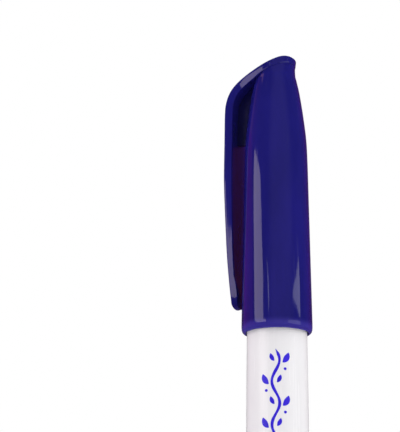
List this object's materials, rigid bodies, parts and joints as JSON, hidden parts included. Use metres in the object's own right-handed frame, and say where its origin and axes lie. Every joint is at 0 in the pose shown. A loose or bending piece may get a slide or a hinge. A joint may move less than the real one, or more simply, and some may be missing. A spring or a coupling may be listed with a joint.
{
  "type": "fabric marking pen",
  "caption": "Capped fabric marking pen with a white barrel, a pull-off indigo clip cap and a fibre bullet nib fed by an ink reservoir.",
  "frame": {"origin": "centre of the flat end of the rear plug, on the pen's axis", "axes": "+Z along the pen towards the nib and the crown of the cap, -X towards the clip, and the pen mirrors across the plane y = 0"},
  "size_m": [0.0174, 0.0142, 0.139],
  "materials": {
    "barrel_white": "glossy moulded white with printed ink",
    "plug_white": "satin moulded white",
    "section_indigo": "glossy moulded indigo",
    "cap_indigo": "glossy moulded indigo",
    "nib_fibre": "bonded fibre soaked with dark ink",
    "reservoir_fibre": "ink-soaked fibre bundle",
    "reservoir_film": "thin plastic film",
    "liner_white": "soft moulded white"
  },
  "bodies": {
    "pen": {"barrel": "barrel_white", "rear_plug": "plug_white", "reservoir_core": "reservoir_fibre", "reservoir_film": "reservoir_film", "front_section": "section_indigo", "nib": "nib_fibre"},
    "cap": {"cap_shell": "cap_indigo", "inner_cap": "liner_white"},
    "clip": {"cap_clip": "cap_indigo"}
  },
  "joints": [
    {"name": "cap_pull", "type": "slide", "parent": "pen", "child": "cap", "axis": [0, 0, 1], "range_m": [0, 0.06]},
    {"name": "clip_flex", "type": "hinge", "parent": "cap", "child": "clip", "pos_m": [-0.0093, 0, 0.1214], "axis": [0, 1, 0], "range_deg": [0, 4], "stiffness_Nm_per_rad": 0.25}
  ]
}
